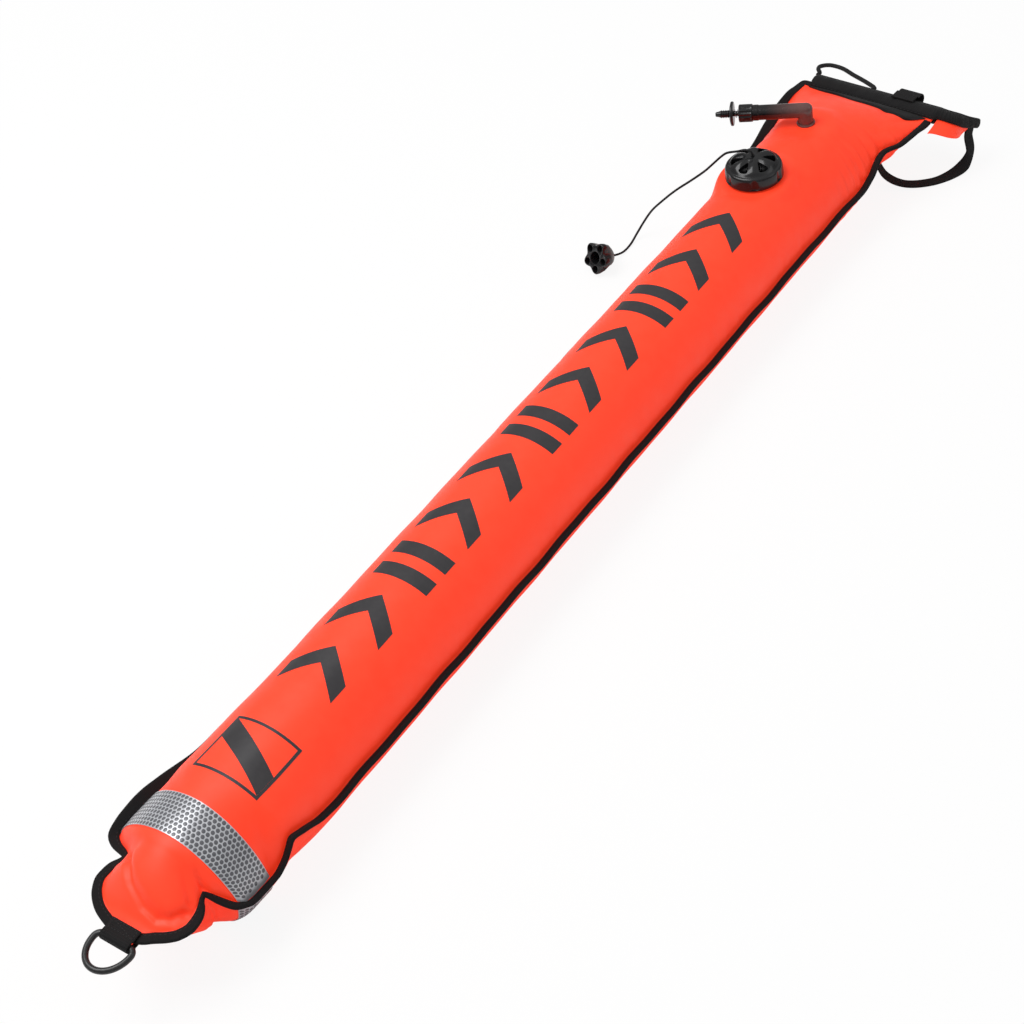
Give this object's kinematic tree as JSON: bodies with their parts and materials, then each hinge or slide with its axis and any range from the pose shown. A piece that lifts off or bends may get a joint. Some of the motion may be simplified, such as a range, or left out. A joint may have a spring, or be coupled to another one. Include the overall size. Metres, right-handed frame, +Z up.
{
  "type": "surface marker buoy",
  "caption": "Closed inflatable tube buoy with welded taped edges, dump valve, oral inflator with lock ring, pull cord and knob, foot ring, head webbing and a reflective band.",
  "frame": {"origin": "middle of the flat patch on the tube's underside that it rests on", "axes": "+X along the tube from the foot ring to the head, +Z up away from the floor"},
  "size_m": [1.0982, 0.2478, 0.118],
  "materials": {
    "coated_nylon": "satin",
    "black_tape": "matte",
    "black_webbing": "matte",
    "reflective_film": "satin",
    "black_metal": "gloss",
    "black_plastic": "gloss",
    "smoked_plastic": "gloss",
    "black_rubber": "matte",
    "spring_steel": "satin",
    "shock_cord": "matte",
    "thin_cord": "matte"
  },
  "bodies": {
    "buoy": {"upper_panel": "coated_nylon", "lower_panel": "coated_nylon", "corner_ear": "coated_nylon", "edge_binding": "black_tape", "head_hem": "black_webbing", "head_tab_loop": "black_webbing", "d_ring_tab": "black_webbing", "strap_loop": "black_webbing", "reflective_band_upper": "reflective_film", "reflective_band_lower": "reflective_film", "valve_base": "black_plastic", "valve_cap": "black_plastic", "valve_gasket": "black_rubber", "valve_spring": "spring_steel", "inflator_base": "black_plastic", "inflator_tube": "smoked_plastic", "inflator_spring": "spring_steel", "bungee_loop": "shock_cord", "pull_cord": "thin_cord", "pull_knob": "black_plastic"},
    "ring": {"d_ring": "black_metal"},
    "poppet": {"valve_poppet": "black_plastic", "valve_seal": "black_rubber"},
    "mouthpiece": {"inflator_stem": "black_plastic", "inflator_seal": "black_rubber"},
    "lock_ring": {"inflator_lock_ring": "black_plastic"}
  },
  "joints": [
    {"name": "ring_swing", "type": "hinge", "parent": "buoy", "child": "ring", "pos_m": [-0.5215, 0, 0.05346], "axis": [0, 1, 0], "range_deg": [-80, 80]},
    {"name": "poppet_lift", "type": "slide", "parent": "buoy", "child": "poppet", "axis": [0, 0, 1], "range_m": [0, 0.004], "stiffness_N_per_m": 500, "springref_m": -0.004, "deforming": ["valve_spring"]},
    {"name": "mouthpiece_press", "type": "slide", "parent": "buoy", "child": "mouthpiece", "axis": [0.4384, -0.8988, 0], "range_m": [0, 0.004], "stiffness_N_per_m": 400, "springref_m": -0.004, "deforming": ["inflator_spring"]},
    {"name": "lock_ring_turn", "type": "hinge", "parent": "buoy", "child": "lock_ring", "pos_m": [0.4078, 0.0075, 0.10135], "axis": [-0.4384, 0.8988, 0], "range_deg": [0, 90]}
  ]
}
